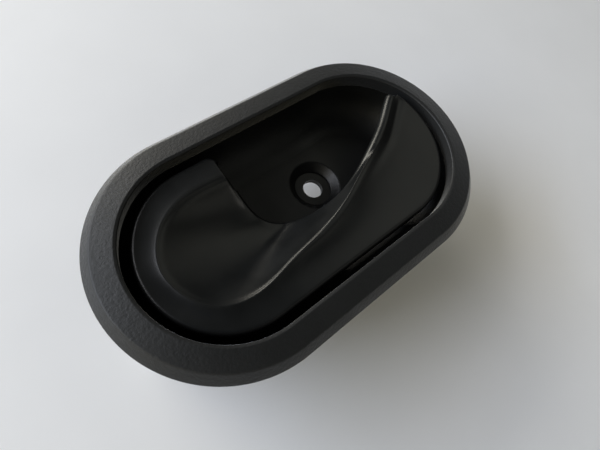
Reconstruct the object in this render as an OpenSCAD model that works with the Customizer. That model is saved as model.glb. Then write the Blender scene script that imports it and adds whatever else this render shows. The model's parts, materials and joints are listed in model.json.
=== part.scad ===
// Inside car door handle: a stadium bezel round a finger tray, with a sprung pull lever.
// +Z points out of the door towards the hand, X is the long axis, the lever is hinged at -X.
// The origin is below the middle of the bezel, on the surface that the back of the handle lies on.

/* [Bezel] */
// Overall length of the bezel
bezel_l = 130; // [124:1:140]
// Overall width of the bezel
bezel_w = 74; // [72:1:78]
// Height of the bezel's inner edge above its rear edge
bezel_h = 5.4; // [4.5:0.1:6.5]
// Width of the grained face, from the outer edge to the inner edge
bezel_face = 9.3; // [8.5:0.1:9.8]
// Height of the steep outer chamfer
chamfer_h = 4; // [3:0.1:4.3]
// Width of the steep outer chamfer
chamfer_w = 2.5; // [1.5:0.1:3.5]
// Moulded wall thickness of the bezel
bezel_wall = 1.6; // [1.2:0.1:1.8]

/* [Tray] */
// Distance from the bezel's rear edge down to the back of the handle
back_depth = 30; // [29:1:34]
// Depth of the tray floor below the bezel's rear edge
tray_depth = 16; // [15:0.5:17]
// Radius between the tray wall and its floor
tray_fillet = 11; // [8:1:13]
// Moulded wall thickness of the tray
tray_wall = 1.8; // [1.5:0.1:2.2]
// Diameter of the fixing screw's clearance hole
screw_hole_d = 7; // [6:0.1:7.5]
// Diameter of the seat for the fixing screw's head
screw_seat_d = 13; // [11:0.5:14]
// Position of the fixing screw along X and Y
screw_at = [15.2, 5.3]; // [-20:0.1:20]

/* [Lever] */
// Gap between the bezel's inner edge and the lever, seen from the front
lever_gap = 2.8; // [2.2:0.1:3.2]
// Wall thickness of the lever's skin
skin = 2.4; // [2:0.1:2.6]
// Depth of the skirt round the lever, below the bezel's rear edge
skirt_drop = 3; // [2:0.5:4]
// How far the hinge axis is from the middle, towards -X
hinge_x = 38; // [37.5:0.5:38.5]
// Depth of the hinge axis below the bezel's rear edge
hinge_drop = 8.5; // [8.4:0.1:8.8]
// Length of the crank from the hinge axis to its eye
crank_l = 16.5; // [15.5:0.5:17]

/* [Hardware] */
// Diameter of the steel hinge pin
pin_d = 5; // [4.6:0.1:5.2]
// Wire diameter of the return spring
wire_d = 1.2; // [1:0.1:1.3]
// Number of turns in the return spring
spring_turns = 3; // [2:1:3]
// Diameter of the cable sheath's ferrule
ferrule_d = 6; // [5:0.1:6.5]

/* [Hidden] */
$fn = 72;
running = 0.05;      // radial clearance of a shaft in its hole
face_z = back_depth; // height of the bezel's rear edge
end_r = bezel_w / 2;
half = bezel_l / 2 - end_r; // distance from the middle to each end's centre
inner_r = end_r - bezel_face;
lever_r = inner_r - lever_gap;
tray_r = inner_r + 1.6;     // inner wall of the tray
tray_out = tray_r + tray_wall;
flange_r = end_r - bezel_wall - 0.3;
flange_z = face_z + 0.4;    // underside of the tray's flange
flange_t = 1.6;
floor_z = face_z - tray_depth;
hinge_z = face_z - hinge_drop;
eye_z = hinge_z - crank_l;
hub_r = 4.8;
hub_y = [-9.6, 3.2];
ear_y = 10.2;   // inner face of each hinge ear
ear_t = 3;
ear_r = 6;
bush_r = 3.8;
flange_y = 0.85; // past the ear's face: where the pin's head and clip begin
pin_tail = 2.1;   // how far the pin reaches past the ear's face
crank_y = [-5, -1];
crank_w = 8;
wire_y = 1.5;   // the cable's line, beside the crank
beam_y = [-21, -16];
beam_z = [face_z - 9.6, face_z - 4.6];
beam_end = 34;
screw_xs = [-27, 2, 30];
web_x = [-30.4, -25]; // the arm's cross web, clear of the ear and under the scoop
web_z = [face_z - 10.4, face_z - 7.9];
seat_depth = 2.9;   // screw seat below the tray floor
boss_h = seat_depth + 2;
cup_r = 9.4;        // outer edge of the cup round the fixing screw
slot_x = [-hinge_x - crank_w / 2 - 1.3, -hinge_x + 13];
slot_y = [crank_y[0] - 1.5, crank_y[1] + 1.5];
buffer_x = -25.1; // face that the crank meets at full pull
bay_end = -20;   // inner face of the cross wall behind the buffer
rail_y = 13;    // inner face of each rear rail
rail_t = 2;
post_x = 37;
post_y = 13;
bumpers_at = [[42, -12], [43, 2]];
pad_at = [-52.2, -8]; // the cable bracket's screw
bumper_top = face_z - 3.1;
plate_x = -57;  // outer face of the cable bracket
plate_t = 2;

// ---------- shapes shared by several pieces ----------

// Sweeps a profile drawn in (distance from the centre line, height) round the stadium.
module stadium_sweep() {
    for (turn = [0, 180]) rotate(turn) {
        translate([half, 0, 0]) rotate(-90) rotate_extrude(angle = 180) children();
        translate([-half, 0, 0]) rotate([90, 0, 90]) linear_extrude(2 * half) children();
    }
}

// A cylinder along Y between two values of y, centred on [x, z].
module y_rod(at, y0, y1, r) {
    translate([at[0], y1, at[1]]) rotate([90, 0, 0]) cylinder(r = r, h = y1 - y0);
}

module box(x, y, z) {
    translate([x[0], y[0], z[0]]) cube([x[1] - x[0], y[1] - y[0], z[1] - z[0]]);
}

function centred(middle, width) = [middle - width / 2, middle + width / 2];

// A bowl's half section: flat floor, round corner, upright wall.
module bowl_profile(r, z0, z1, fillet) {
    translate([0, z0]) square([r - fillet, z1 - z0]);
    translate([0, z0 + fillet]) square([r, z1 - z0 - fillet]);
    intersection() {
        translate([r - fillet, z0 + fillet]) circle(fillet);
        translate([0, z0]) square([r, z1 - z0]);
    }
}

// ---------- lever skin: three edge lines joined across by smooth sections ----------

// Each row is a station along the skin, from the lobe's corner round to the lip's tip:
// [distance along the outline, edge height, crest x, y, height, nose x, y, height, radius, first angle].
// Heights are above the bezel's rear edge. The crest line is the scoop's crease on the left and the
// lip on the right; the nose is the rounded edge along the cut-out, given by its centre.
stations = [
    [0, 2.5, -17.2, 16.2, 2.6, -16.1, 12.1, -1.6, 1.2, 90],
    [9, 2.5, -20.5, 16.8, 2.7, -15.6, 9.7, -3.2, 1.2, 90],
    [22, 2.7, -30, 16.8, 2.8, -15, 7.6, -4.8, 1.2, 90],
    [36, 2.7, -39.5, 13.2, 2.8, -14.4, 5.9, -6, 1.2, 90],
    [50, 2.7, -45.4, 6, 2.8, -13.6, 4.2, -7.1, 1.2, 90],
    [64, 2.7, -46.4, -1.5, 2.9, -12.6, 2.6, -8, 1.2, 90],
    [78, 2.7, -43.5, -9.2, 3, -11.3, 0.9, -8.7, 1.2, 90],
    [92, 2.8, -37, -14.6, 3.2, -9.4, -0.7, -9.3, 1.2, 90],
    [104, 2.8, -27.5, -15.9, 3.7, -7.4, -1.9, -9.7, 1.2, 82],
    [117, 2.9, -16.6, -14.2, 4.5, -5.1, -3.3, -9.45, 1.25, 65],
    [131, 3, -4.3, -12.6, 5.2, 0.2, -5.7, -6.3, 1.3, 35],
    [145, 3, 7.3, -9.5, 5.8, 9.6, -7, 0.1, 1.4, 25],
    [159.5, 3, 20.1, -5, 5.54, 19.9, -4.6, 3.6, 2, 80],
    [173, 3.5, 30, -0.3, 5.84, 29.8, 0.1, 3.9, 2, 88],
    [184.5, 4.2, 37.6, 3.8, 5.93, 37.3, 4.2, 4.05, 1.95, 88],
    [193, 5.1, 43.9, 8.1, 6.03, 43.6, 8.5, 4.2, 1.9, 88],
    [198.6, 5.8, 47.7, 10.6, 6.03, 47.4, 11, 4.25, 1.85, 88]
];
corner_r = 3;        // plan radius of the lobe's corner
corner_x = -15.6;    // right side of the lobe
edge_r = 1.2;        // rounding along the outline
section_steps = 5;   // samples between stations
flank_ts = [0.3, 0.6, 0.86];
scoop_ts = [0.14, 0.32, 0.5, 0.68, 0.84];
nose_steps = 4;      // samples round the nose

// Point [x, y] on the outline at a distance from its start, inset by some amount.
function outline(d, inset) =
    let (quarter = corner_r * 90 * PI / 180, top = corner_x - corner_r + half,
         turn = PI * lever_r, r = lever_r - inset)
    d < quarter
        ? let (a = d / quarter * 90) [corner_x - corner_r, lever_r - corner_r]
            + (corner_r - inset) * [cos(a), sin(a)]
    : d < quarter + top ? [corner_x - corner_r - (d - quarter), r]
    : d < quarter + top + turn
        ? let (a = 90 + (d - quarter - top) / lever_r * 180 / PI) [-half, 0] + r * [cos(a), sin(a)]
    : d < quarter + top + turn + 2 * half ? [d - quarter - top - turn - half, -r]
    : let (a = (d - quarter - top - turn - 2 * half) / lever_r * 180 / PI - 90)
        [half, 0] + r * [cos(a), sin(a)];

// Smooth interpolation between the rows of a table.
function row(table, i) = table[max(0, min(len(table) - 1, i))];
function blend(table, s) =
    let (i = min(floor(s), len(table) - 2), t = s - i, a = row(table, i - 1), b = row(table, i),
         c = row(table, i + 1), d = row(table, i + 2))
    b + 0.5 * t * (c - a + t * (2 * a - 5 * b + 4 * c - d + t * (3 * (b - c) + d - a)));

// The closed section across one station: up the outline, over the crest, down to the nose and
// round it, then back underneath to the skirt.
function section(s) =
    let (v = blend(stations, s), edge_h = v[1], crest = [v[2], v[3], v[4]], nose = [v[5], v[6], v[7]],
         rim = outline(v[0], edge_r), foot = outline(v[0], 0), inside = outline(v[0], skin),
         along = blend(stations, s + 0.1) - blend(stations, s - 0.1),
         away = [-along[6], along[5], 0] / norm([along[5], along[6]]),
         flank_h = [for (t = flank_ts) edge_h + pow(t, 3) * (crest[2] - edge_h)],
         round_nose = [for (i = [0:nose_steps]) let (a = v[9] - (90 + v[9]) * i / nose_steps)
             nose + v[8] * (cos(a) * away + [0, 0, sin(a)])],
         brink = round_nose[0], hollow = max(0, (v[9] - 30) / 60),
         scoop = [for (t = scoop_ts) let (p = crest + t * (brink - crest),
             w = t + hollow * (1 - pow(1 - t, 1.7) - t)) [p[0], p[1], crest[2] + w * (brink[2] - crest[2])]],
         n = len(flank_ts) - 1, m = len(scoop) - 1)
    [for (p = concat(
        [[foot[0], foot[1], -skirt_drop]],
        [for (a = [0, 30, 60, 90]) let (p = outline(v[0], edge_r * (1 - cos(a))))
            [p[0], p[1], edge_h - edge_r * (1 - sin(a))]],
        [for (i = [0:n]) let (p = rim + flank_ts[i] * ([crest[0], crest[1]] - rim)) [p[0], p[1], flank_h[i]]],
        [crest],
        scoop,
        round_nose,
        [for (i = [m:-1:0]) scoop[i] - [0, 0, skin]],
        [crest - [0, 0, skin]],
        [for (i = [n:-1:0]) let (p = inside + flank_ts[i] * ([crest[0], crest[1]] - inside))
            [p[0], p[1], flank_h[i] - skin]],
        [[inside[0], inside[1], edge_h - skin], [inside[0], inside[1], -skirt_drop]]))
        p + [0, 0, face_z]];

// Closes a run of equal sections into a solid.
module sweep_sections(sections) {
    n = len(sections);
    m = len(sections[0]);
    polyhedron(
        points = [for (sec = sections) each sec],
        faces = concat(
            [[for (j = [m - 1:-1:0]) j]],
            [for (i = [0:n - 2]) for (j = [0:m - 1]) let (k = (j + 1) % m)
                each [[i * m + j, (i + 1) * m + k, (i + 1) * m + j], [i * m + j, i * m + k, (i + 1) * m + k]]],
            [[for (j = [0:m - 1]) (n - 1) * m + j]]),
        convexity = 8);
}

module skin_shell() {
    last = len(stations) - 1;
    sweep_sections([for (i = [0:last * section_steps]) section(i / section_steps)]);
}

// ---------- the pieces ----------

module bezel_profile() {
    difference() {
        polygon([[inner_r, face_z + 0.6], [inner_r, face_z + bezel_h - 0.5],
            [inner_r + 0.5, face_z + bezel_h], [end_r - chamfer_w - 0.4, face_z + chamfer_h + 0.25],
            [end_r - chamfer_w, face_z + chamfer_h], [end_r, face_z + 0.4], [end_r, face_z],
            [inner_r + 1.4, face_z], [inner_r + 1.4, face_z + 0.6]]);
        translate([inner_r + 1.4, face_z - 1]) square([end_r - bezel_wall - inner_r - 1.4, 3.2]);
    }
}

tongue_at = [-20, 0, 20];

module bezel() color([0.16, 0.16, 0.16]) {
    stadium_sweep() bezel_profile();
    for (side = [-1, 1]) for (x = tongue_at) {
        box([x - 3, x + 3], centred(side * (tray_out + 1.2), 1.4), [flange_z - 1.6, face_z + 2.6]);
        box([x - 3, x + 3], centred(side * (tray_out + 1.55), 2.1), [flange_z - 1.6, flange_z - 0.2]);
    }
}

module ear(side) {
    y0 = side > 0 ? ear_y : -ear_y - ear_t;
    y_rod([-hinge_x, hinge_z], y0, y0 + ear_t, ear_r);
    box([-hinge_x - ear_r, -hinge_x + ear_r], [y0, y0 + ear_t], [floor_z - 1, hinge_z]);
}

// The tray with its flange, and what is moulded on its back, cut off at the tray's inner surface.
module tray() {
    difference() {
        union() {
            stadium_sweep() {
                bowl_profile(tray_out, floor_z - tray_wall, flange_z + flange_t, tray_fillet + tray_wall);
                translate([tray_r, flange_z]) square([flange_r - tray_r, flange_t]);
            }
            for (side = [-1, 1]) {
                // rear rails: feet, and sides of the mechanism bay
                box([-50, bay_end + 2], centred(side * (rail_y + rail_t / 2), rail_t), [0, floor_z + 4]);
                // locating posts that carry the trim clips
                box([post_x - 4, post_x + 4], centred(side * post_y, 6), [0, floor_z + 2]);
            }
            // cross wall that holds the open buffer
            box([bay_end, bay_end + 2], [-rail_y - 0.5, rail_y + 0.5], [4, floor_z]);
            // pads for the cable bracket's screw and for the fixing screw
            translate([pad_at[0], pad_at[1], floor_z - 5]) cylinder(r = 3.2, h = 12);
            translate([screw_at[0], screw_at[1], floor_z - boss_h]) cylinder(r = 11, h = boss_h);
        }
        stadium_sweep() bowl_profile(tray_r, floor_z, flange_z + flange_t + 1, tray_fillet);
    }
}

// Half section of the fixing screw's cup: a soft funnel, then the seat for the head.
module screw_cup_profile() {
    seat_r = screw_seat_d / 2;
    polygon([[0, 1], [cup_r, 1], [cup_r, 0], [cup_r - 0.4, -0.15], [cup_r - 0.8, -0.5], [seat_r + 0.5, -2],
        [seat_r + 0.15, -2.3], [seat_r, -2.4], [seat_r, -seat_depth], [0, -seat_depth]]);
}

module housing() color([0.13, 0.13, 0.13]) {
    difference() {
        union() {
            tray();
            for (side = [-1, 1]) ear(side);
            // pillar under each rest bumper
            for (at = bumpers_at) translate([at[0], at[1], floor_z - 1])
                cylinder(r = 3.4, h = bumper_top - 3.4 - floor_z + 1);
        }
        // screw seat and clearance hole
        translate([screw_at[0], screw_at[1], floor_z - 10]) cylinder(d = screw_hole_d, h = 20);
        translate([screw_at[0], screw_at[1], floor_z]) rotate_extrude() screw_cup_profile();
        // slot for the crank
        box(slot_x, slot_y, [floor_z - 10, floor_z + 1]);
        // bush seats
        y_rod([-hinge_x, hinge_z], -ear_y - ear_t - 1, ear_y + ear_t + 1, bush_r + running);
        // windows for the bezel's tongues
        for (side = [-1, 1]) for (x = tongue_at)
            box([x - 3.3, x + 3.3], centred(side * (tray_out + 1.55), 2.7), [flange_z - 1, flange_z + 1.7]);
        // pilot hole for the bracket screw
        translate([pad_at[0], pad_at[1], floor_z - 6]) cylinder(r = 1.3, h = 5);
    }
}

module rear_gasket() color([0.3, 0.3, 0.31])
    stadium_sweep() translate([tray_out + 2.9, face_z - 1.2]) square([flange_r - tray_out - 2.9, 1.6]);

// One spring clip: a U of strip steel over the post's outer side, with a barb.
module trim_clips() color([0.72, 0.73, 0.75])
    for (side = [-1, 1]) for (end = [-1, 1]) {
        box(centred(post_x + end * 4.3, 0.6), centred(side * post_y, 5), [1.2, 11]);
        box(centred(post_x + end * 5.3, 1.8), centred(side * post_y, 4), [6.4, 7]);
    }

module paddle() color([0.17, 0.17, 0.18]) {
    difference() {
        union() {
            skin_shell();
            for (x = screw_xs)
                translate([x, (beam_y[0] + beam_y[1]) / 2, beam_z[1] + 0.02])
                    cylinder(r = 2.4, h = face_z + 1.6 - beam_z[1]);
        }
        for (x = screw_xs)
            translate([x, (beam_y[0] + beam_y[1]) / 2, beam_z[1] - 1])
                cylinder(r = 1.3, h = 5.2);
    }
}

module lever_arm() color([0.1, 0.1, 0.11]) {
    difference() {
        union() {
            y_rod([-hinge_x, hinge_z], hub_y[0], hub_y[1], hub_r);
            box([-hinge_x, web_x[1]], hub_y, web_z);
            box(web_x, [beam_y[1], hub_y[1]], web_z);
            box([web_x[0], beam_end], beam_y, beam_z);
            box([-hinge_x - crank_w / 2, -hinge_x + crank_w / 2], crank_y, [eye_z, hinge_z]);
            y_rod([-hinge_x, eye_z], crank_y[0], crank_y[1], crank_w / 2);
        }
        y_rod([-hinge_x, hinge_z], hub_y[0] - 1, hub_y[1] + 1, pin_d / 2 + running);
        y_rod([-hinge_x, eye_z], crank_y[0] - 1, crank_y[1] + 1, 2.4 + running);
        for (x = screw_xs) translate([x, (beam_y[0] + beam_y[1]) / 2, beam_z[0] - 1]) cylinder(r = 1.5, h = 10);
    }
}

module pan_screw(shank_r, head_r, head_h, shank_l) {
    cylinder(r = shank_r, h = shank_l);
    difference() {
        translate([0, 0, -head_h]) cylinder(r = head_r, h = head_h);
        for (turn = [0, 90]) rotate(turn) translate([-head_r * 0.6, -0.35, -head_h - 1]) cube([head_r * 1.2, 0.7, 1.9]);
    }
}

module paddle_screws() color([0.6, 0.6, 0.62])
    for (x = screw_xs)
        translate([x, (beam_y[0] + beam_y[1]) / 2, beam_z[0]]) pan_screw(1.25, 2.4, 1.6, 8.6);

module pivot_pin() color([0.75, 0.76, 0.78]) {
    end = ear_y + ear_t;
    difference() {
        union() {
            y_rod([-hinge_x, hinge_z], -end - pin_tail, end + flange_y, pin_d / 2);
            y_rod([-hinge_x, hinge_z], end + flange_y, end + pin_tail, pin_d / 2 + 1.2);
        }
        difference() {
            y_rod([-hinge_x, hinge_z], -end - flange_y - 0.7, -end - flange_y, pin_d);
            y_rod([-hinge_x, hinge_z], -end - 3, -end, pin_d / 2 - 0.5);
        }
    }
}

module bush(side) {
    y0 = ear_y;
    difference() {
        union() {
            y_rod([-hinge_x, hinge_z], side > 0 ? y0 : -y0 - ear_t, side > 0 ? y0 + ear_t : -y0, bush_r);
            y_rod([-hinge_x, hinge_z], side > 0 ? y0 + ear_t : -y0 - ear_t - 0.8, side > 0 ? y0 + ear_t + 0.8 : -y0 - ear_t, 5);
        }
        y_rod([-hinge_x, hinge_z], -30, 30, pin_d / 2 + running);
    }
}

module upper_bush() color([0.85, 0.84, 0.78]) bush(1);
module lower_bush() color([0.85, 0.84, 0.78]) bush(-1);

module pin_retainer() color([0.55, 0.56, 0.58]) {
    end = ear_y + ear_t;
    difference() {
        y_rod([-hinge_x, hinge_z], -end - flange_y - 0.65, -end - flange_y - 0.05, 4.4);
        y_rod([-hinge_x, hinge_z], -end - 3, -end, pin_d / 2 - 0.45);
        box([-hinge_x - 1.5, -hinge_x + 1.5], [-end - 3, -end], [hinge_z - 6, hinge_z]);
    }
}

module thrust_washers() color([0.8, 0.68, 0.35])
    for (y = [[-ear_y + 0.02, hub_y[0] - 0.02], [ear_y - 0.52, ear_y - 0.02]]) difference() {
        y_rod([-hinge_x, hinge_z], y[0], y[1], 4.6);
        y_rod([-hinge_x, hinge_z], y[0] - 1, y[1] + 1, pin_d / 2 + running);
    }

// Return spring: a coil round the sleeve, one leg on the floor and one under the lever's web.
coil_r = 4.5;
coil_steps = 20;
coil_start = ear_y - 1.4; // y of the coil's first turn
coil_pitch = wire_d + 0.1;
leg_z = web_z[0] - wire_d / 2 - 0.02;
spring_path = concat(
    [[-hinge_x - coil_r, coil_start, floor_z + 1.2]],
    [for (i = [0:(spring_turns + 0.5) * coil_steps]) let (a = 180 - i * 360 / coil_steps)
        [-hinge_x + coil_r * cos(a), coil_start - coil_pitch * i / coil_steps, hinge_z + coil_r * sin(a)]],
    [[-hinge_x + coil_r + 0.5, hub_y[1] + 0.8, leg_z + 0.1], [-hinge_x + coil_r + 2.5, hub_y[1] - 0.2, leg_z],
     [web_x[1] - 1, hub_y[1] - 1, leg_z]]);

function unit(v) = v / norm(v);
function tangent(path, i) = unit(path[min(i + 1, len(path) - 1)] - path[max(i - 1, 0)]);
function tube_ring(path, i, r, sides) =
    let (t = tangent(path, i), side = unit(cross(t, [0, 1, 0])), up = cross(side, t))
    [for (k = [0:sides - 1]) path[i] + r * (cos(k * 360 / sides) * side + sin(k * 360 / sides) * up)];

module return_spring() color([0.7, 0.71, 0.73])
    sweep_sections([for (i = [0:len(spring_path) - 1]) tube_ring(spring_path, i, wire_d / 2, 8)]);

module spring_sleeve() color([0.9, 0.9, 0.88]) difference() {
    y_rod([-hinge_x, hinge_z], hub_y[1] + 0.1, ear_y - 0.6, 3.7);
    y_rod([-hinge_x, hinge_z], 0, 20, pin_d / 2 + running);
}

module rest_bumpers() color([0.08, 0.08, 0.08])
    for (at = bumpers_at) translate([at[0], at[1], bumper_top - 3.4]) cylinder(r = 2.8, h = 3.3);

module open_buffer() color([0.08, 0.08, 0.08])
    box([buffer_x, bay_end], [crank_y[0], crank_y[1]], [5, 10]);

module cable_bracket() color([0.66, 0.67, 0.69]) {
    difference() {
        union() {
            box([plate_x, plate_x + plate_t], [-11, 7], [0.6, floor_z - 5]);
            box([plate_x, -49.6], [-11, -4.6], [floor_z - 7, floor_z - 5]);
        }
        translate([plate_x - 1, wire_y, eye_z]) rotate([0, 90, 0]) cylinder(d = ferrule_d, h = plate_t + 2);
        translate([pad_at[0], pad_at[1], floor_z - 8]) cylinder(r = 1.5, h = 5);
    }
}

module bracket_screw() color([0.6, 0.6, 0.62])
    translate([pad_at[0], pad_at[1], floor_z - 7]) pan_screw(1.25, 2.6, 1.6, 5.5);

module cable_anchor() color([0.72, 0.73, 0.75]) difference() {
    union() {
        y_rod([-hinge_x, eye_z], crank_y[0] - 2, crank_y[1] + 0.2, 2.4);
        y_rod([-hinge_x, eye_z], crank_y[1] + 0.2, wire_y + 2.5, 3.2);
    }
    translate([-hinge_x - 5, wire_y, eye_z]) rotate([0, 90, 0]) cylinder(r = 1, h = 10);
    difference() {
        y_rod([-hinge_x, eye_z], crank_y[0] - 1.2, crank_y[0] - 0.5, 4);
        y_rod([-hinge_x, eye_z], crank_y[0] - 2, crank_y[0], 1.9);
    }
}

module anchor_clip() color([0.5, 0.51, 0.53]) difference() {
    y_rod([-hinge_x, eye_z], crank_y[0] - 1.15, crank_y[0] - 0.55, 3.8);
    y_rod([-hinge_x, eye_z], crank_y[0] - 3, crank_y[0], 1.95);
    box([-hinge_x - 1.2, -hinge_x + 1.2], [crank_y[0] - 3, crank_y[0]], [eye_z - 5, eye_z]);
}

module slot_seal() color([0.2, 0.2, 0.2]) difference() {
    box([slot_x[0] - 1.3, slot_x[1] + 1.5], [slot_y[0] - 0.7, slot_y[1] + 0.7], [floor_z, floor_z + 1]);
    box([slot_x[0] + 0.3, slot_x[1] - 0.3], [crank_y[0] - 0.6, crank_y[1] + 0.6], [floor_z - 1, floor_z + 2]);
}

bezel();
housing();
rear_gasket();
trim_clips();
paddle();
lever_arm();
paddle_screws();
pivot_pin();
upper_bush();
lower_bush();
pin_retainer();
thrust_washers();
return_spring();
spring_sleeve();
rest_bumpers();
open_buffer();
cable_bracket();
bracket_screw();
cable_anchor();
anchor_clip();
slot_seal();
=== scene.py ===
"""Finished look of an inside car door handle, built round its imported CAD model."""

import json
import math

import bpy
import numpy as np
from bpy.props import FloatProperty, FloatVectorProperty, PointerProperty
from mathutils import Euler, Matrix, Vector


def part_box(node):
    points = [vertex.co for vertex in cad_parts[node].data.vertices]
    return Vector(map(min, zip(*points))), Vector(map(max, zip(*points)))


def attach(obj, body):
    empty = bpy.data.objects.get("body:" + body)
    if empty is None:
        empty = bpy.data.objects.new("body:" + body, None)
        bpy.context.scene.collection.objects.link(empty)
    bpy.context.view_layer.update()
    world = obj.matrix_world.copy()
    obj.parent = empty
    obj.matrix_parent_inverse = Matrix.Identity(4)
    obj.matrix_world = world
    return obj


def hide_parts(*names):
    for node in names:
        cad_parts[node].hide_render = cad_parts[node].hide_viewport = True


bl_info = {
    "name": "Inside Door Handle",
    "version": (1, 0, 0),
    "blender": (4, 5, 0),
    "location": "View3D > Sidebar > Door Handle",
    "description": "Builds the finished pieces and materials of an inside car door handle",
    "category": "Object",
}

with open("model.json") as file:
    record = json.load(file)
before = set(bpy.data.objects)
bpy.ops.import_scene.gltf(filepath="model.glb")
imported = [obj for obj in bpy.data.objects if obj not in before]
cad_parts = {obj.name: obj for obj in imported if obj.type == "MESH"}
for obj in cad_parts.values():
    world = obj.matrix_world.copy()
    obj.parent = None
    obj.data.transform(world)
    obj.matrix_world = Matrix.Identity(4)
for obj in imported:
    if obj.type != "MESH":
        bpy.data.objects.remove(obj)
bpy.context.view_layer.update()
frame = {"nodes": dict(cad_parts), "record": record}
MM = 0.001
bezel_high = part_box("bezel")[1]
TOP = bezel_high.z  # height of the bezel's inner edge
END_R = bezel_high.y  # radius of the bezel's round ends
HALF = bezel_high.x - END_R  # from the middle to each round end's centre


def linear(hex_colour):
    """An sRGB hex colour as linear red, green, blue and an alpha of 1."""
    parts = [int(hex_colour[i : i + 2], 16) / 255 for i in (1, 3, 5)]
    return (*[c / 12.92 if c <= 0.04045 else ((c + 0.055) / 1.055) ** 2.4 for c in parts], 1.0)


def length_prop(name, mm, about):
    """A length that the panel shows, given in millimetres."""
    return FloatProperty(name=name, description=about, default=mm * MM, unit="LENGTH", precision=5)


def colour_prop(name, hex_colour, about):
    """A colour that the panel shows, given as an sRGB hex value."""
    return FloatVectorProperty(
        name=name,
        description=about,
        default=linear(hex_colour),
        size=4,
        subtype="COLOR",
        min=0,
        max=1,
    )


class HandleSizes(bpy.types.PropertyGroup):
    """Sizes of the visible mouldings."""

    bezel_height: length_prop("Bezel height", 5.4, "From the bezel's rear edge to its inner edge")
    bezel_face: length_prop("Bezel face", 9.3, "Width from the bezel's outer to its inner edge")
    chamfer_width: length_prop("Chamfer width", 2.5, "Width of the steep outer chamfer")
    chamfer_height: length_prop("Chamfer height", 4.0, "Height of the steep outer chamfer")
    bezel_wall: length_prop("Bezel wall", 1.6, "Thickness of the bezel's outer wall")
    lever_gap: length_prop("Lever gap", 2.8, "Gap between the bezel and the lever")
    skin: length_prop("Lever skin", 2.4, "Thickness of the lever's skin")
    skirt: length_prop("Lever skirt", 3.0, "Depth of the skirt below the bezel's rear edge")


class HandleColours(bpy.types.PropertyGroup):
    """Colours of the mouldings and fittings."""

    bezel: colour_prop("Bezel", "#101111", "Grained black plastic")
    tray: colour_prop("Tray", "#101111", "Smooth black plastic")
    lever: colour_prop("Lever", "#121313", "Satin black plastic")
    arm: colour_prop("Arm", "#161617", "Glass-filled black nylon")
    rubber: colour_prop("Rubber", "#141414", "Black rubber")
    foam: colour_prop("Foam", "#2e2e30", "Grey-black foam")
    steel: colour_prop("Steel", "#b9bcc0", "Bright steel")
    zinc: colour_prop("Zinc", "#a8aba9", "Zinc-plated steel")
    spring: colour_prop("Spring steel", "#6c7076", "Tempered spring steel")
    brass: colour_prop("Brass", "#b5954e", "Rolled brass")
    acetal: colour_prop("Acetal", "#ddd9cc", "Natural acetal")
    table: colour_prop("Table", "#efefef", "Pale table top")


# ---------------------------------------------------------------- surfaces


def grid_faces(rows, columns, wrap_rows=False, wrap_columns=False):
    """Quads of a grid of points, with either direction closed on itself: point (r, c) joins
    (r + 1, c), (r + 1, c + 1) and (r, c + 1), and its number is r times the columns, plus c."""
    r = np.arange(rows if wrap_rows else rows - 1)
    c = np.arange(columns if wrap_columns else columns - 1)
    r, c = np.meshgrid(r, c, indexing="ij")
    r2, c2 = (r + 1) % rows, (c + 1) % columns
    corners = [r * columns + c, r2 * columns + c, r2 * columns + c2, r * columns + c2]
    return np.stack(corners, axis=-1).reshape(-1, 4)


def build_piece(name, parts, material, body, replaces=()):
    """Joins grids of (points, faces) into one smooth mesh object that rides on a body."""
    points = np.concatenate([p.reshape(-1, 3) for p, _ in parts])
    starts = np.cumsum([0] + [p.reshape(-1, 3).shape[0] for p, _ in parts[:-1]])
    faces = np.concatenate([f + s for (_, f), s in zip(parts, starts)])
    mesh = bpy.data.meshes.new(name)
    mesh.from_pydata(points.tolist(), [], faces.tolist())
    mesh.polygons.foreach_set("use_smooth", np.ones(len(faces), bool))
    mesh.validate()
    mesh.materials.append(material)
    piece = bpy.data.objects.new(name, mesh)
    bpy.context.scene.collection.objects.link(piece)
    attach(piece, body)
    if replaces:
        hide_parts(*replaces)
    return piece


def rounded(corners, steps=5):
    """Rounds a closed polygon of (x, y, radius) corners. The curve leaves each side at radius over
    tan(half the corner's angle) from the corner, at most 0.45 of the side, and runs between those
    points as (1 - t)^2 start + 2 t (1 - t) corner + t^2 end. A radius of 0 keeps a sharp corner."""
    corners = np.array(corners, float)
    here, radius = corners[:, :2], corners[:, 2:]
    before, after = np.roll(here, 1, 0) - here, np.roll(here, -1, 0) - here
    before_l = np.linalg.norm(before, axis=1, keepdims=True)
    after_l = np.linalg.norm(after, axis=1, keepdims=True)
    u, v = before / before_l, after / after_l
    half = np.arccos(np.clip(np.sum(u * v, 1, keepdims=True), -1, 1)) / 2
    reach = np.minimum(radius / np.tan(half), 0.45 * np.minimum(before_l, after_l))
    start, end, here = (here + u * reach)[:, None], (here + v * reach)[:, None], here[:, None]
    t = np.linspace(0, 1, steps)[:, None]
    curves = (1 - t) ** 2 * start + 2 * t * (1 - t) * here + t**2 * end
    return curves[(radius > 0) | (np.arange(steps) == 0)]


def stadium_path(steps_end=72, steps_side=12):
    """Round the stadium's middle line: a half turn about (HALF, 0), the top side, a half turn about
    (-HALF, 0) and the lower side. Gives each step's (x, y) on the line and its outward direction,
    (cos a, sin a) of the angle turned."""
    turn = np.linspace(-90, 90, steps_end)
    side = np.linspace(HALF, -HALF, steps_side)[1:-1]
    square = np.full(side.size, 90)
    angles = np.radians(np.concatenate([turn, square, turn + 180, square + 180]))
    xs = np.concatenate([np.full(steps_end, HALF), side, np.full(steps_end, -HALF), -side])
    return np.stack([xs, np.zeros_like(xs)], -1), np.stack([np.cos(angles), np.sin(angles)], -1)


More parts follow.
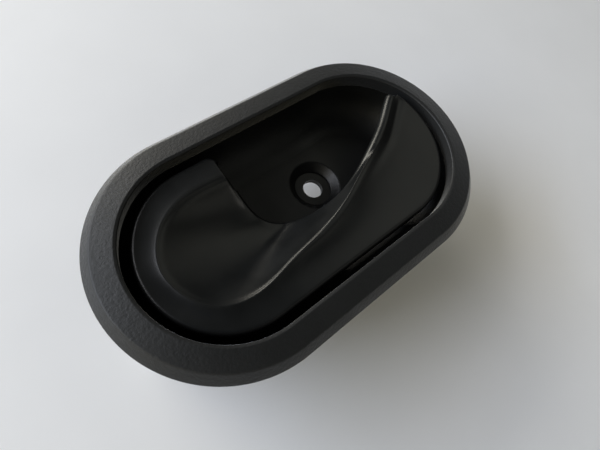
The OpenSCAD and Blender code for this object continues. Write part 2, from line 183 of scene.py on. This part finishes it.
def stadium_sweep(profile):
    """Carries a closed profile of (distance out, height) round the stadium: each point is the
    middle line plus the distance times the outward direction, at the profile's height."""
    centre, out = stadium_path()
    xy = centre[:, None] + profile[None, :, :1] * out[:, None]
    z = np.broadcast_to(profile[None, :, 1:], (*xy.shape[:2], 1))
    points = np.concatenate([xy, z], -1)
    return points, grid_faces(len(centre), len(profile), True, True)


def lathe(profile, x, y, sides=36):
    """Turns a closed profile of (radius, height) round the upright line at x, y: each point is
    (x + radius cos a, y + radius sin a, height)."""
    a = np.linspace(0, 2 * math.pi, sides, endpoint=False)[:, None]
    radius, height = profile[:, 0], profile[:, 1] + 0 * a
    points = np.stack([x + radius * np.cos(a), y + radius * np.sin(a), height], -1)
    return points, grid_faces(sides, len(profile), True, True)


def spline(rows, stations):
    """A natural cubic spline through the rows of a table, one apart, read at any stations. The
    bends b solve b before + 4 b + b after = 6 times the rows' second difference, and are 0 at the
    ends. Between rows, a straight line at t has (u - u^3) / 6 of each end's bend taken off it,
    where u is 1 - t for the first end and t for the second."""
    rows = np.asarray(rows, float)
    n = len(rows)
    system = np.diag(np.full(n, 4.0)) + np.diag(np.ones(n - 1), 1) + np.diag(np.ones(n - 1), -1)
    system[0, :2], system[-1, -2:] = (1, 0), (0, 1)
    right = np.zeros_like(rows)
    right[1:-1] = 6 * (rows[2:] - 2 * rows[1:-1] + rows[:-2])
    bend = np.linalg.solve(system, right)
    i = np.clip(np.floor(stations).astype(int), 0, n - 2)
    t = (stations - i)[:, None]
    u = 1 - t
    return u * rows[i] + t * rows[i + 1] - (u - u**3) * bend[i] / 6 - (t - t**3) * bend[i + 1] / 6


# ---------------------------------------------------------------- the bezel


def bezel_profile(sizes):
    """The bezel's closed section of (distance out, height): a polygon with its corners rounded."""
    back = TOP - sizes.bezel_height
    inner = END_R - sizes.bezel_face
    crest = END_R - sizes.chamfer_width
    wall = END_R - sizes.bezel_wall
    lip_foot = back + 0.6 * MM
    under = back + 2.2 * MM
    return rounded([
        (inner, lip_foot, 0.2 * MM),  # inner lip's foot
        (inner + 1.4 * MM, lip_foot, 0.2 * MM),
        (inner + 1.6 * MM, under, 0.5 * MM),  # underside of the face
        (wall, under, 0.5 * MM),
        (wall, back, 0.2 * MM),  # rear edge
        (END_R, back, 0.3 * MM),
        (END_R - 0.1 * MM, back + 0.7 * MM, 0.4 * MM),  # foot of the chamfer
        (crest, back + sizes.chamfer_height, 1.1 * MM),  # from chamfer to face
        (inner + 0.9 * MM, TOP, 0.6 * MM),  # bead at the inner edge
        (inner, TOP - 0.35 * MM, 0.5 * MM),
    ], steps=8)


# ---------------------------------------------------------------- the lever's skin

# Stations along the lever's skin, from the lobe's corner round to the lip's tip, in millimetres:
# distance along the outline; edge height; crest x, y, height; nose x, y, height, radius, angle
# where it begins; crest softness; depth of the valley beside the crest. Heights are above the
# bezel's rear edge. The crest is the scoop's crease at first, then the lip; the nose is the rounded
# edge along the cut-out.
STATIONS = [
    (0, 2.5, -17.2, 16.2, 2.6, -16.1, 12.1, -1.6, 1.2, 90, 2.5, 0),
    (9, 2.5, -20.5, 16.8, 2.7, -15.6, 9.7, -3.2, 1.2, 90, 3, 0),
    (22, 2.4, -30, 16.8, 2.8, -15, 7.6, -4.8, 1.2, 90, 3, 0),
    (36, 2.2, -39.5, 13.2, 2.8, -14.4, 5.9, -6, 1.2, 90, 2, 0),
    (50, 2.2, -45.4, 6, 2.8, -13.6, 4.2, -7.1, 1.2, 90, 1.6, 0),
    (64, 2.2, -46.4, -1.5, 2.9, -12.6, 2.6, -8, 1.2, 90, 1.6, 0),
    (78, 2.2, -43.5, -9.2, 3, -11.3, 0.9, -8.7, 1.2, 90, 2, 0),
    (92, 2.5, -37, -14.6, 3.2, -9.4, -0.7, -9.3, 1.2, 90, 2.4, 0),
    (104, 2.8, -27.5, -15.9, 3.7, -7.4, -1.9, -9.7, 1.2, 82, 2.2, 0),
    (117, 2.9, -16.6, -14.2, 4.5, -5.1, -3.3, -9.45, 1.25, 65, 1.8, 0),
    (131, 3, -4.3, -12.6, 5.2, 0.2, -5.7, -6.3, 1.3, 35, 2.2, 0),
    (145, 3, 7.3, -9.5, 5.8, 9.6, -7, 0.1, 1.5, 38, 1.6, 0),
    (159.5, 3, 18.1, -4.8, 5.9, 20.3, -4, 2.8, 1.6, 52, 1.3, 0.05),
    (173, 3.5, 30, -0.3, 5.84, 29.8, 0.1, 3.9, 2, 76, 0.8, 0.35),
    (184.5, 4.2, 37.6, 3.8, 5.93, 37.3, 4.2, 4.05, 1.95, 88, 0.6, 0.5),
    (193, 5.1, 43.9, 8.1, 6.03, 43.6, 8.5, 4.2, 1.9, 88, 0.5, 0.45),
    (198.6, 5.8, 47.7, 10.6, 6.03, 47.4, 11, 4.25, 1.85, 88, 0.5, 0.2),
]
LAST = len(STATIONS) - 1
CORNER_R = 3.0  # plan radius of the lobe's corner
CORNER_X = -15.6  # right side of the lobe
EDGE_R = 1.2  # rounding along the outline
END_ROUND = 1.1  # rounding of the skin's two ends
SCOOP_POWER = 1.7  # how quickly the scoop falls away from its crest
VALLEY_AT = 3.2  # distance of the valley from the crest
VALLEY_W = 1.7  # half width of the valley
ALONG = 420  # sections between the skin's ends
ROUND_OFF = 6  # sections that round off each end
SOFTENING = (1, 2, 3, 4, 3, 2, 1)  # weights of the points whose mean softens the crest


def lever_outline(distance, inset, lever_r, half):
    """The lever's outline, moved in by inset: the lobe's corner arc, top side, left end, lower side
    and right end. A straight leg adds the distance along it; a round one is its centre plus its
    radius times (cos a, sin a), where a is the distance along it over its full radius."""
    d = np.asarray(distance, float)
    quarter = CORNER_R * math.pi / 2
    top = CORNER_X - CORNER_R + half
    turn = math.pi * lever_r
    legs = np.cumsum([0, quarter, top, turn, 2 * half])
    r, c = lever_r - inset, CORNER_R - inset
    corner = np.clip((d - legs[0]) / CORNER_R, 0, math.pi / 2)
    left = np.clip((d - legs[2]) / lever_r, 0, math.pi) + math.pi / 2
    right = (d - legs[4]) / lever_r - math.pi / 2
    pieces = [
        (CORNER_X - CORNER_R + c * np.cos(corner), lever_r - CORNER_R + c * np.sin(corner)),
        (CORNER_X - CORNER_R - (d - legs[1]), np.broadcast_to(r, d.shape)),
        (-half + r * np.cos(left), r * np.sin(left)),
        (d - legs[3] - half, np.broadcast_to(-r, d.shape)),
        (half + r * np.cos(right), r * np.sin(right)),
    ]
    which = np.searchsorted(legs[1:], d, side="right")
    x = np.choose(which, [p[0] for p in pieces])
    y = np.choose(which, [p[1] for p in pieces])
    return np.stack([x, y], -1)


def end_rounding():
    """Each section's station, how far it is drawn in on itself, and how far it is carried on past
    the skin's end. Towards each end an angle a rises from 15 to 90 degrees, and a section is drawn
    in by END_ROUND times 1 - cos a and carried on by END_ROUND times sin a, for a soft edge."""
    turn = np.radians(np.linspace(90, 15, ROUND_OFF))
    level = np.zeros(ALONG)
    s = [np.zeros(ROUND_OFF), np.linspace(0, LAST, ALONG), np.full(ROUND_OFF, LAST)]
    s = np.concatenate(s)
    drawn = np.concatenate([1 - np.cos(turn), level, 1 - np.cos(turn[::-1])])
    onward = np.concatenate([-np.sin(turn), level, np.sin(turn[::-1])])
    return s, END_ROUND * drawn[:, None], END_ROUND * onward


def over_the_cut():
    """Each section's level direction out over the cut-out: the nose's line along the skin turned a
    quarter to the left, at unit length. The sections that round off an end share one direction."""
    along = np.gradient(spline(STATIONS, np.linspace(0, LAST, ALONG))[:, 5:7], axis=0)
    along = np.concatenate([along[:1]] * ROUND_OFF + [along] + [along[-1:]] * ROUND_OFF)
    left = np.stack([-along[:, 1], along[:, 0], 0 * along[:, 0]], -1)
    return left / np.linalg.norm(along, axis=1)[:, None]


def crossing_line(edge, edge_h, crest, brink, hollow, q):
    """A section's plan position and height at q: 0 at the outline, 1 at the crest, 2 at the brink
    of the nose. The plan runs straight between them. The flank rises to the crest with the cube of
    q; the scoop falls from it as 1 - (2 - q)^SCOOP_POWER where it is hollow, and in a straight line
    where it isn't."""
    flank, scoop = np.clip(q, 0, 1)[..., None], np.clip(q - 1, 0, 1)[..., None]
    plan = edge + flank * (crest[..., :2] - edge) + scoop * (brink[..., :2] - crest[..., :2])
    fall = scoop + hollow * (1 - (1 - scoop) ** SCOOP_POWER - scoop)
    rise = edge_h + flank**3 * (crest[..., 2:] - edge_h)
    return np.concatenate([plan, rise + fall * (brink[..., 2:] - crest[..., 2:])], -1)


def skin_top(edge, edge_h, crest, brink, hollow, soft, valley, q):
    """The skin's top over every section and q: crossing_line with a soft crest and a valley.
    Each point is the mean of seven up to soft away along the section, weighted by SOFTENING, and
    their spread dies out as exp(-(distance from the crest / 1.5 soft)^2). The valley lowers the
    flank by its depth times exp(-((distance from the crest - VALLEY_AT) / VALLEY_W)^2)."""
    flank_l = np.linalg.norm(crest[..., :2] - edge, axis=-1)
    scoop_l = np.linalg.norm(brink - crest, axis=-1)
    from_crest = np.where(q < 1, (1 - q) * flank_l, (q - 1) * scoop_l)
    near = np.exp(-((from_crest / (1.5 * soft)) ** 2))
    before = np.minimum(soft / flank_l, q) * near
    beyond = np.minimum(soft / scoop_l, 2 - q) * near
    top = 0
    for shift, weight in zip(np.linspace(-1, 1, len(SOFTENING)), SOFTENING):
        moved = q + shift * (before if shift < 0 else beyond)
        line = crossing_line(edge, edge_h, crest, brink, hollow, moved)
        top = top + weight / sum(SOFTENING) * line
    up_flank = (1 - np.clip(q, 0, 1)) * flank_l
    top[..., 2] -= valley * np.exp(-(((up_flank - VALLEY_AT) / VALLEY_W) ** 2))
    return top


def skin_ends(sections, columns):
    """Quads that close the first and last sections: each joins the points i and i + 1 of the
    section's first half to their partners, which are as far back from the section's end."""
    i = np.arange(columns // 2 - 1)
    first = np.stack([i, i + 1, columns - 2 - i, columns - 1 - i], -1)
    return np.concatenate([first, first[:, ::-1] + (sections - 1) * columns])


def lever_skin(sizes):
    """The lever's skin as a grid of sections: up the outline, over the crest, round the nose and
    back underneath. A point on the outline's edge or the nose is its centre plus its radius times
    (cos a, sin a); the inside is the top moved down by the skin's thickness."""
    lever_r = (END_R - sizes.bezel_face - sizes.lever_gap) / MM
    half = HALF / MM
    skin, skirt = sizes.skin / MM, sizes.skirt / MM
    s, drawn, onward = end_rounding()
    rows = spline(STATIONS, s)
    edge_h = rows[:, 1:2] - drawn
    crest, nose = rows[:, None, 2:5] - [0, 0, 1] * drawn[:, None], rows[:, None, 5:8]
    nose_r = (rows[:, 8:9] - drawn)[..., None]
    begin, soft, valley = rows[:, 9:10], rows[:, 10:11], rows[:, 11:12]
    hollow = np.clip((begin - 30) / 60, 0, 1)[..., None]
    away = over_the_cut()[:, None]

    def outline(inset):
        return lever_outline(rows[:, 0], inset[:, 0], lever_r, half)[:, None]

    def round_nose(degrees):
        a = np.radians(degrees)[..., None]
        return nose + nose_r * (np.cos(a) * away + np.sin(a) * [0, 0, 1])

    # from the skirt's foot over the rounded edge to the top, then round the nose to its underside
    edge_turn = np.radians(np.linspace(0, 90, 8)[:-1])
    insets = [drawn + EDGE_R * (1 - math.cos(a)) for a in edge_turn]
    edge_xy = np.concatenate([outline(i) for i in insets], 1)
    edge_z = edge_h - EDGE_R * (1 - np.sin(edge_turn))
    edge = np.concatenate([edge_xy, edge_z[..., None]], -1)
    foot = np.concatenate([edge[:, :1, :2], (drawn - skirt)[..., None]], -1)
    rim = outline(drawn + EDGE_R)
    up_flank, down_scoop = 1 - np.linspace(1, 0, 30) ** 1.6, 1 + np.linspace(0, 1, 40)[1:] ** 1.5
    q = np.concatenate([up_flank, down_scoop])[None]
    brink = round_nose(begin)
    top = skin_top(rim, edge_h[:, None], crest, brink, hollow, soft, valley, q)
    roll = round_nose(begin - (90 + begin) * np.linspace(0, 1, 16)[1:-1])

    # the inside follows the outside, a skin's thickness in from the skirt and below the top
    inside = outline(skin - drawn)
    under = top - (skin - 2 * drawn)[..., None] * [0, 0, 1]
    share = np.clip(q, 0, 1)[..., None]
    under[..., :2] = np.where(share < 1, inside + share * (crest[..., :2] - inside), under[..., :2])
    up = np.linspace(0, 1, 9)[None, :-1]
    wall_z = (drawn - skirt) + up * (under[:, :1, 2] - drawn + skirt)
    wall = np.concatenate([np.broadcast_to(inside, (*wall_z.shape, 2)), wall_z[..., None]], -1)
    shell = np.concatenate([foot, edge, top, roll, under[:, ::-1], wall[:, ::-1]], 1)

    # each end's sections carry on square to the line across that end
    across = (nose[:, 0, :2] - rim[:, 0])[[0, -1]]
    across /= np.linalg.norm(across, axis=1, keepdims=True)
    for end, (x, y) in zip((slice(0, ROUND_OFF), slice(-ROUND_OFF, None)), across):
        shell[end] += onward[end, None, None] * [y, -x, 0]
    shell[..., 2] += (TOP - sizes.bezel_height) / MM
    sections, columns = shell.shape[:2]
    faces = [grid_faces(sections, columns, False, True), skin_ends(sections, columns)]
    return shell * MM, np.concatenate(faces)


def screw_bosses():
    """The three bosses that take the lever's screws: a tube's profile turned round each screw."""
    low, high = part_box("paddle_screws")
    head_r = 2.4 * MM
    bore, boss_top = 1.3 * MM, TOP - 3.8 * MM
    foot = high.z - 3.55 * MM
    boss = rounded([
        (bore, foot, 0),
        (2.4 * MM, foot, 0.3 * MM),
        (2.5 * MM, boss_top, 0),
        (bore, boss_top, 0),
    ])
    y = (low.y + high.y) / 2
    return [lathe(boss, x, y) for x in (low.x + head_r, 2 * MM, high.x - head_r)]


# ---------------------------------------------------------------- materials

NOISE = "ShaderNodeTexNoise"
CELLS = "ShaderNodeTexVoronoi"


def add_node(tree, kind, inputs=None, **settings):
    """Adds a shader node, sets its settings, and fills or links its inputs."""
    node = tree.nodes.new(kind)
    for key, value in settings.items():
        setattr(node, key, value)
    for key, value in (inputs or {}).items():
        if isinstance(value, bpy.types.NodeSocket):
            tree.links.new(value, node.inputs[key])
        else:
            node.inputs[key].default_value = value
    return node


def new_material(name):
    """An empty material, its node tree, and the object's own coordinates in metres."""
    material = bpy.data.materials.new(name)
    material.use_nodes = True
    tree = material.node_tree
    tree.nodes.clear()
    place = add_node(tree, "ShaderNodeTexCoord").outputs["Object"]
    return material, tree, place


def finish_material(material, colour, shade, dulling=None, relief=None, uniform=None):
    """Joins up a material. shade and dulling are (pattern, low, high): the pattern's usual range of
    0.3 to 0.7 is spread over low to high, which scales the colour or is the roughness. relief is
    (pattern, depth in metres). uniform holds the shader's values that are the same all over."""
    tree = material.node_tree
    inputs = dict(uniform or {})
    amounts = []
    for pattern, low, high in filter(None, (shade, dulling)):
        spread = {"From Min": 0.3, "From Max": 0.7, "To Min": low, "To Max": high}
        node = add_node(tree, "ShaderNodeMapRange", {"Value": pattern, **spread})
        amounts.append(node.outputs["Result"])
    shading = {0: colour[:3], "Scale": amounts[0]}
    shaded = add_node(tree, "ShaderNodeVectorMath", shading, operation="SCALE")
    inputs["Base Color"] = shaded.outputs[0]
    if dulling:
        inputs["Roughness"] = amounts[1]
    if relief:
        raised = {"Height": relief[0], "Distance": relief[1], "Strength": 1.0}
        inputs["Normal"] = add_node(tree, "ShaderNodeBump", raised).outputs["Normal"]
    surface = add_node(tree, "ShaderNodeBsdfPrincipled", inputs)
    add_node(tree, "ShaderNodeOutputMaterial", {"Surface": surface.outputs["BSDF"]})
    return material


def grained_plastic(colours):
    """Polypropylene moulded in an etched tool: a fine leather grain of cells about 0.9 mm across
    scatters the light, and broad patches are a little duller."""
    material, tree, place = new_material("grained_polypropylene")
    leather = {"Vector": place, "Scale": 1 / (0.9 * MM)}
    cells = add_node(tree, CELLS, leather, feature="SMOOTH_F1").outputs["Distance"]
    grit = {"Vector": place, "Scale": 1 / (0.45 * MM), "Detail": 4}
    fine = add_node(tree, NOISE, grit).outputs["Fac"]
    patches = {"Vector": place, "Scale": 1 / (14 * MM), "Detail": 3}
    worn = add_node(tree, NOISE, patches).outputs["Fac"]
    height = add_node(tree, "ShaderNodeMath", {0: cells, 1: fine}, operation="ADD").outputs[0]
    return finish_material(
        material,
        colours.bezel,
        shade=(fine, 0.75, 1.3),
        dulling=(worn, 0.5, 0.6),
        relief=(height, 0.06 * MM),
        uniform={"IOR": 1.49, "Sheen Weight": 0.9, "Sheen Roughness": 0.3},
    )


def smooth_nylon(name, colour, patch, dulls, grain, depth):
    """Nylon moulded in a spark-eroded tool: an even low shine, with broad handling patches of
    patch metres and a fine grain of grain metres."""
    material, tree, place = new_material(name)
    handling = {"Vector": place, "Scale": 1 / patch, "Detail": 4}
    worn = add_node(tree, NOISE, handling).outputs["Fac"]
    fine = add_node(tree, NOISE, {"Vector": place, "Scale": 1 / grain}).outputs["Fac"]
    return finish_material(
        material,
        colour,
        shade=(worn, 0.85, 1.15),
        dulling=(worn, *dulls),
        relief=(fine, depth),
        uniform={"IOR": 1.53},
    )


def satin_plastic(colours):
    """Satin nylon of the lever: soft highlights along its crests."""
    grain, depth = 0.3 * MM, 0.012 * MM
    return smooth_nylon("satin_nylon", colours.lever, 11 * MM, (0.3, 0.38), grain, depth)


def tray_plastic(colours):
    """The same nylon in the deep tray, a little duller, so that it stays in the shade."""
    grain, depth = 0.4 * MM, 0.015 * MM
    return smooth_nylon("moulded_tray_nylon", colours.tray, 16 * MM, (0.42, 0.55), grain, depth)


def filled_nylon(colours):
    """Glass-filled nylon: flow marks and short fibres make it patchy and dull."""
    material, tree, place = new_material("glass_filled_nylon")
    flow = {"Vector": place, "Scale": 1 / (0.5 * MM), "Detail": 5, "Roughness": 0.7}
    fibre = add_node(tree, NOISE, flow).outputs["Fac"]
    return finish_material(
        material,
        colours.arm,
        shade=(fibre, 0.7, 1.5),
        dulling=(fibre, 0.45, 0.65),
        relief=(fibre, 0.03 * MM),
        uniform={"IOR": 1.53},
    )


def soft_rubber(colours):
    """Moulded rubber: matt, with a slight bloom."""
    material, tree, place = new_material("moulded_rubber")
    dust = {"Vector": place, "Scale": 1 / (1.2 * MM), "Detail": 4}
    bloom = add_node(tree, NOISE, dust).outputs["Fac"]
    return finish_material(
        material,
        colours.rubber,
        shade=(bloom, 0.8, 1.6),
        dulling=(bloom, 0.65, 0.85),
        relief=(bloom, 0.02 * MM),
        uniform={"IOR": 1.52},
    )


def open_foam(colours):
    """Open-cell polyurethane foam: round cells about 0.6 mm across, no shine."""
    material, tree, place = new_material("open_cell_foam")
    bubbles = {"Vector": place, "Scale": 1 / (0.6 * MM)}
    cells = add_node(tree, CELLS, bubbles).outputs["Distance"]
    return finish_material(
        material,
        colours.foam,
        shade=(cells, 0.5, 1.5),
        relief=(cells, 0.2 * MM),
        uniform={"Roughness": 0.95},
    )


def clean_acetal(colours):
    """Natural acetal: a waxy white plastic that lets a little light in."""
    material, tree, place = new_material("natural_acetal")
    clouds = {"Vector": place, "Scale": 1 / (3 * MM), "Detail": 3}
    flow = add_node(tree, NOISE, clouds).outputs["Fac"]
    return finish_material(
        material,
        colours.acetal,
        shade=(flow, 0.92, 1.03),
        dulling=(flow, 0.3, 0.42),
        uniform={
            "IOR": 1.48,
            "Subsurface Weight": 0.15,
            "Subsurface Radius": (0.6 * MM, 0.5 * MM, 0.4 * MM),
            "Subsurface Scale": 1.0,
        },
    )


# Slot, name, colour, lowest and highest roughness, and size of the fine marks in millimetres.
METALS = [
    # ground round bar: sharp streaks of light
    ("bright_steel", "ground_steel", "steel", 0.2, 0.34, 0.5),
    # zinc plating: a soft grey shine with cloudy patches
    ("zinc_steel", "zinc_plated_steel", "zinc", 0.34, 0.5, 1.5),
    # hardened strip: dark grey and half dull
    ("spring_steel", "tempered_spring_steel", "spring", 0.3, 0.45, 1.0),
    # drawn wire: dark grey with narrow bright lines
    ("spring_wire", "drawn_spring_wire", "spring", 0.25, 0.4, 0.4),
    # rolled brass: warm, with a light tarnish
    ("brass", "rolled_brass", "brass", 0.28, 0.4, 0.8),
]


def metal(name, colour, smooth, rough, mark):
    """A bare or plated metal with fine marks of a given size, and patches of dulling."""
    material, tree, place = new_material(name)
    scratches = {"Vector": place, "Scale": 1 / mark, "Detail": 5, "Roughness": 0.6}
    marks = add_node(tree, NOISE, scratches).outputs["Fac"]
    return finish_material(
        material,
        colour,
        shade=(marks, 0.85, 1.1),
        dulling=(marks, smooth, rough),
        relief=(marks, 0.004 * MM),
        uniform={"Metallic": 1.0},
    )


def table_laminate(colours):
    """Pale matt laminate of the table: nearly even, with a faint mottle."""
    material, tree, place = new_material("laminate_table")
    cloud = {"Vector": place, "Scale": 1 / (30 * MM), "Detail": 3}
    mottle = add_node(tree, NOISE, cloud).outputs["Fac"]
    return finish_material(
        material,
        colours.table,
        shade=(mottle, 0.985, 1.01),
        uniform={"Roughness": 0.5, "IOR": 1.45},
    )


# ---------------------------------------------------------------- the stage

# Soft lights that face the handle: name, bearing from +X and height in degrees, width and height in
# metres, power in watts, colour.
LIGHTS = [
    ("window_low", 139, 25, 1.6, 0.35, 21, "#e3edff"),
    ("window_high", 139, 40, 1.6, 0.35, 7.6, "#fbfbff"),
    ("window_side", 93, 18, 0.9, 0.6, 12.8, "#fffaec"),
    ("wall_left", 185, 18, 0.9, 0.6, 4.2, "#fff4cc"),
    ("wall_right", 10, 50, 0.9, 0.9, 1.1, "#fffff0"),
    ("wall_front", -60, 35, 1.2, 0.6, 0.8, "#fffff0"),
    ("wall_near", -120, 30, 1.2, 0.6, 2.0, "#fffbf0"),
]
LIGHT_DISTANCE = 1.5  # metres from the handle to each light
ROOM_COLOUR, ROOM_STRENGTH = "#d8dce0", 0.03
TABLE_HALF = 3.0  # metres from the middle of the table to its edge
CAMERA_PLACE = (-64.1, -31.0, 150.5)  # millimetres
CAMERA_TURN = (23.98, -13.6, -39.31)  # degrees about x, y and z
LENS, SENSOR = 27.9, 36  # millimetres
NEAREST = 0.01  # metres from the camera to the nearest thing that it sees


def area_light(name, bearing, height, width, tall, power, hex_colour):
    """A rectangular soft light facing the handle, which stands at the distance times
    (cos height cos bearing, cos height sin bearing, sin height)."""
    light = bpy.data.lights.new(name, "AREA")
    light.shape = "RECTANGLE"
    light.size, light.size_y = width, tall
    light.energy = power
    light.color = linear(hex_colour)[:3]
    holder = bpy.data.objects.new(name, light)
    bpy.context.scene.collection.objects.link(holder)
    bearing, height = math.radians(bearing), math.radians(height)
    flat = math.cos(height)
    place = Vector((flat * math.cos(bearing), flat * math.sin(bearing), math.sin(height)))
    holder.location = LIGHT_DISTANCE * place
    holder.rotation_euler = (-place).to_track_quat("-Z", "Y").to_euler()


def table_top(colours):
    """A large flat pale surface under the handle: one square about the origin."""
    corners = TABLE_HALF * np.array([(-1, -1, 0), (1, -1, 0), (1, 1, 0), (-1, 1, 0)], float)
    mesh = bpy.data.meshes.new("table_top")
    mesh.from_pydata(corners.tolist(), [], [(0, 1, 2, 3)])
    mesh.materials.append(table_laminate(colours))
    table = bpy.data.objects.new("table_top", mesh)
    bpy.context.scene.collection.objects.link(table)


def viewing_camera():
    """The camera, above the lobe's end of the handle and looking down across it."""
    camera = bpy.data.cameras.new("camera")
    camera.lens, camera.sensor_width = LENS, SENSOR
    camera.clip_start = NEAREST
    holder = bpy.data.objects.new("camera", camera)
    bpy.context.scene.collection.objects.link(holder)
    holder.location = Vector(CAMERA_PLACE) * MM
    holder.rotation_euler = Euler([math.radians(a) for a in CAMERA_TURN])
    return holder


# ---------------------------------------------------------------- operators


class HANDLE_OT_bezel(bpy.types.Operator):
    """Bezel with its grained face, steep outer chamfer and bead at the inner edge"""

    bl_idname = "handle.bezel"
    bl_label = "Bezel"

    def execute(self, context):
        sizes, colours = context.scene.handle_sizes, context.scene.handle_colours
        ring = [stadium_sweep(bezel_profile(sizes))]
        finish = grained_plastic(colours)
        build_piece("bezel_moulding", ring, finish, "body", ["bezel"])
        return {"FINISHED"}


class HANDLE_OT_lever(bpy.types.Operator):
    """Scooped skin of the pull lever, with its screw bosses"""

    bl_idname = "handle.lever"
    bl_label = "Lever skin"

    def execute(self, context):
        sizes, colours = context.scene.handle_sizes, context.scene.handle_colours
        parts = [lever_skin(sizes), *screw_bosses()]
        finish = satin_plastic(colours)
        build_piece("lever_skin", parts, finish, "lever", ["paddle"])
        return {"FINISHED"}


class HANDLE_OT_fittings(bpy.types.Operator):
    """Materials of the tray, the arm and the small fittings"""

    bl_idname = "handle.fittings"
    bl_label = "Fittings"

    def execute(self, context):
        colours = context.scene.handle_colours
        finishes = {
            "tray_plastic": tray_plastic(colours),
            "filled_nylon": filled_nylon(colours),
            "rubber": soft_rubber(colours),
            "foam": open_foam(colours),
            "acetal": clean_acetal(colours),
        }
        for slot, name, colour, smooth, rough, mark in METALS:
            finishes[slot] = metal(name, getattr(colours, colour), smooth, rough, mark * MM)
        for row in frame["record"]["subparts"]:
            node = frame["nodes"][row["node"]]
            if node.hide_render or row["material_slot"] not in finishes:
                continue
            node.data.materials.clear()
            node.data.materials.append(finishes[row["material_slot"]])
        return {"FINISHED"}


class HANDLE_OT_stage(bpy.types.Operator):
    """Pale table, soft window light and the camera"""

    bl_idname = "handle.stage"
    bl_label = "Stage"

    def execute(self, context):
        table_top(context.scene.handle_colours)
        for light in LIGHTS:
            area_light(*light)
        world = bpy.data.worlds.new("room")
        world.use_nodes = True
        room = world.node_tree.nodes["Background"].inputs
        room["Color"].default_value = linear(ROOM_COLOUR)
        room["Strength"].default_value = ROOM_STRENGTH
        context.scene.world = world
        context.scene.view_settings.view_transform = "Standard"
        context.scene.camera = viewing_camera()
        return {"FINISHED"}


class HANDLE_PT_panel(bpy.types.Panel):
    """Sizes, colours and steps of the door handle"""

    bl_idname = "HANDLE_PT_panel"
    bl_label = "Door Handle"
    bl_space_type = "VIEW_3D"
    bl_region_type = "UI"
    bl_category = "Door Handle"

    def draw(self, context):
        for group in (context.scene.handle_sizes, context.scene.handle_colours):
            for name in group.__annotations__:
                self.layout.prop(group, name)
        for operator in STEPS:
            self.layout.operator(operator.bl_idname)


STEPS = [HANDLE_OT_bezel, HANDLE_OT_lever, HANDLE_OT_fittings, HANDLE_OT_stage]
CLASSES = [HandleSizes, HandleColours, *STEPS, HANDLE_PT_panel]


def register():
    """Adds the classes, and the sizes and colours that each scene keeps."""
    for cls in CLASSES:
        bpy.utils.register_class(cls)
    bpy.types.Scene.handle_sizes = PointerProperty(type=HandleSizes)
    bpy.types.Scene.handle_colours = PointerProperty(type=HandleColours)


def unregister():
    """Takes the sizes, colours and classes away again."""
    del bpy.types.Scene.handle_sizes
    del bpy.types.Scene.handle_colours
    for cls in reversed(CLASSES):
        bpy.utils.unregister_class(cls)


def main():
    """Runs every step in order."""
    register()
    bpy.ops.handle.bezel()
    bpy.ops.handle.lever()
    bpy.ops.handle.fittings()
    bpy.ops.handle.stage()


if __name__ == "__main__":
    main()
